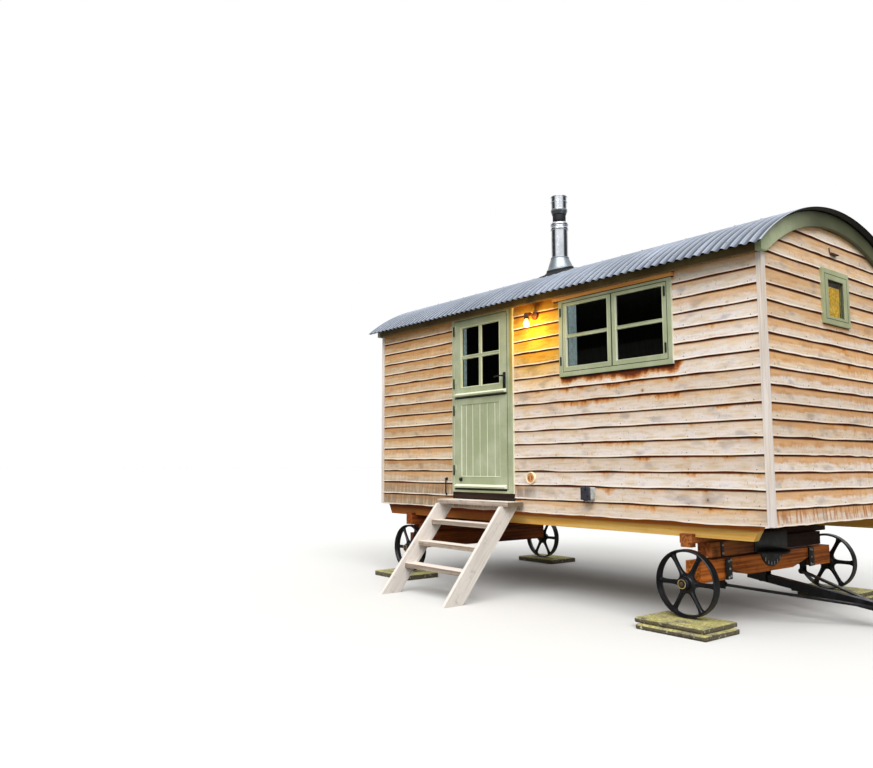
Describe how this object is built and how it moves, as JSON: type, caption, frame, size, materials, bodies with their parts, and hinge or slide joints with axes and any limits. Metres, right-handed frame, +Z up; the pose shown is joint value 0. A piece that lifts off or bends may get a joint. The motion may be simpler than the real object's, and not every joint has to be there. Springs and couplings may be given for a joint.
{
  "type": "shepherds hut",
  "caption": "Timber hut on cast iron wheels with an arched corrugated roof, lapped oak boards, a stable door, a flue, a steerable drawbar and a timber stair.",
  "frame": {"origin": "on the level floor, below the middle of the whole object's box", "axes": "+X along the hut towards the drawbar, -Y the side with the door and the stair, +Z up"},
  "size_m": [6.1783, 3.5676, 4.024],
  "materials": {
    "floorboards": "oiled boards",
    "stained_softwood": "orange brown preservative stain",
    "oak_boarding": "lapped oak boards, silvering",
    "oak_trim": "planed oak, silvering",
    "roof_boards": "softwood lining boards",
    "galvanised_sheet": "galvanised corrugated sheet",
    "sage_paint": "satin sage paint on timber",
    "window_glass": "clear glass",
    "black_iron": "black paint over iron",
    "cast_iron": "black paint over cast iron",
    "grey_plastic": "matt moulded plastic",
    "lead_skirt": "polished flashing",
    "stainless_flue": "polished stainless steel",
    "weathered_softwood": "grey weathered softwood",
    "mossy_slab": "concrete slab with moss"
  },
  "bodies": {
    "hut": {"floor_deck": "floorboards", "floor_joists": "stained_softwood", "chassis_rails": "stained_softwood", "front_wall_left": "oak_boarding", "front_wall_under_door": "oak_boarding", "front_wall_over_door": "oak_boarding", "front_wall_right": "oak_boarding", "back_wall": "oak_boarding", "right_gable_wall": "oak_boarding", "left_gable_wall": "oak_boarding", "corner_posts": "oak_trim", "roof_deck": "roof_boards", "roof_sheet": "galvanised_sheet", "bargeboards": "sage_paint", "eaves_boards": "sage_paint", "door_frame": "sage_paint", "window_frame": "sage_paint", "window_casements": "sage_paint", "window_glass": "window_glass", "window_cap": "oak_trim", "gable_window_frames": "sage_paint", "wall_lamp": "black_iron", "vent_ring": "oak_trim", "socket_box": "grey_plastic", "flue_flashing": "lead_skirt", "flue_tube": "stainless_flue", "stair_stringers": "weathered_softwood", "stair_tread_1": "weathered_softwood", "stair_tread_2": "weathered_softwood", "stair_tread_3": "weathered_softwood", "stair_tread_4": "weathered_softwood", "wheel_slabs": "mossy_slab", "rear_axle": "stained_softwood", "fore_bolster": "stained_softwood"},
    "lower_door": {"lower_leaf": "sage_paint"},
    "upper_door": {"upper_leaf": "sage_paint", "upper_leaf_glass": "window_glass", "door_handle": "black_iron"},
    "fore_carriage": {"fore_axle_beam": "stained_softwood", "fore_axle_irons": "black_iron"},
    "front_near_wheel": {"wheel_front_near": "cast_iron"},
    "front_far_wheel": {"wheel_front_far": "cast_iron"},
    "rear_near_wheel": {"wheel_rear_near": "cast_iron"},
    "rear_far_wheel": {"wheel_rear_far": "cast_iron"},
    "tow_bar": {"drawbar": "black_iron"}
  },
  "joints": [
    {"name": "lower_door_swing", "type": "hinge", "parent": "hut", "child": "lower_door", "pos_m": [-1.61671, -0.86619, 1.014], "axis": [0, 0, -1], "range_deg": [0, 100]},
    {"name": "upper_door_swing", "type": "hinge", "parent": "hut", "child": "upper_door", "pos_m": [-1.61671, -0.86619, 1.968], "axis": [0, 0, -1], "range_deg": [0, 100]},
    {"name": "fore_carriage_steer", "type": "hinge", "parent": "hut", "child": "fore_carriage", "pos_m": [1.16079, 0.30381, 0.3384], "axis": [0, 0, 1], "range_deg": [-15, 15]},
    {"name": "front_near_wheel_spin", "type": "hinge", "parent": "fore_carriage", "child": "front_near_wheel", "pos_m": [1.16079, -0.84919, 0.3384], "axis": [0, 1, 0], "continuous": true},
    {"name": "front_far_wheel_spin", "type": "hinge", "parent": "fore_carriage", "child": "front_far_wheel", "pos_m": [1.16079, 1.45681, 0.3384], "axis": [0, 1, 0], "continuous": true},
    {"name": "rear_near_wheel_spin", "type": "hinge", "parent": "hut", "child": "rear_near_wheel", "pos_m": [-2.50421, -0.78319, 0.3134], "axis": [0, 1, 0], "continuous": true},
    {"name": "rear_far_wheel_spin", "type": "hinge", "parent": "hut", "child": "rear_far_wheel", "pos_m": [-2.50421, 1.39081, 0.3134], "axis": [0, 1, 0], "continuous": true},
    {"name": "tow_bar_lift", "type": "hinge", "parent": "fore_carriage", "child": "tow_bar", "pos_m": [1.16079, 0.30381, 0.285], "axis": [0, -1, 0], "range_deg": [0, 25]}
  ]
}
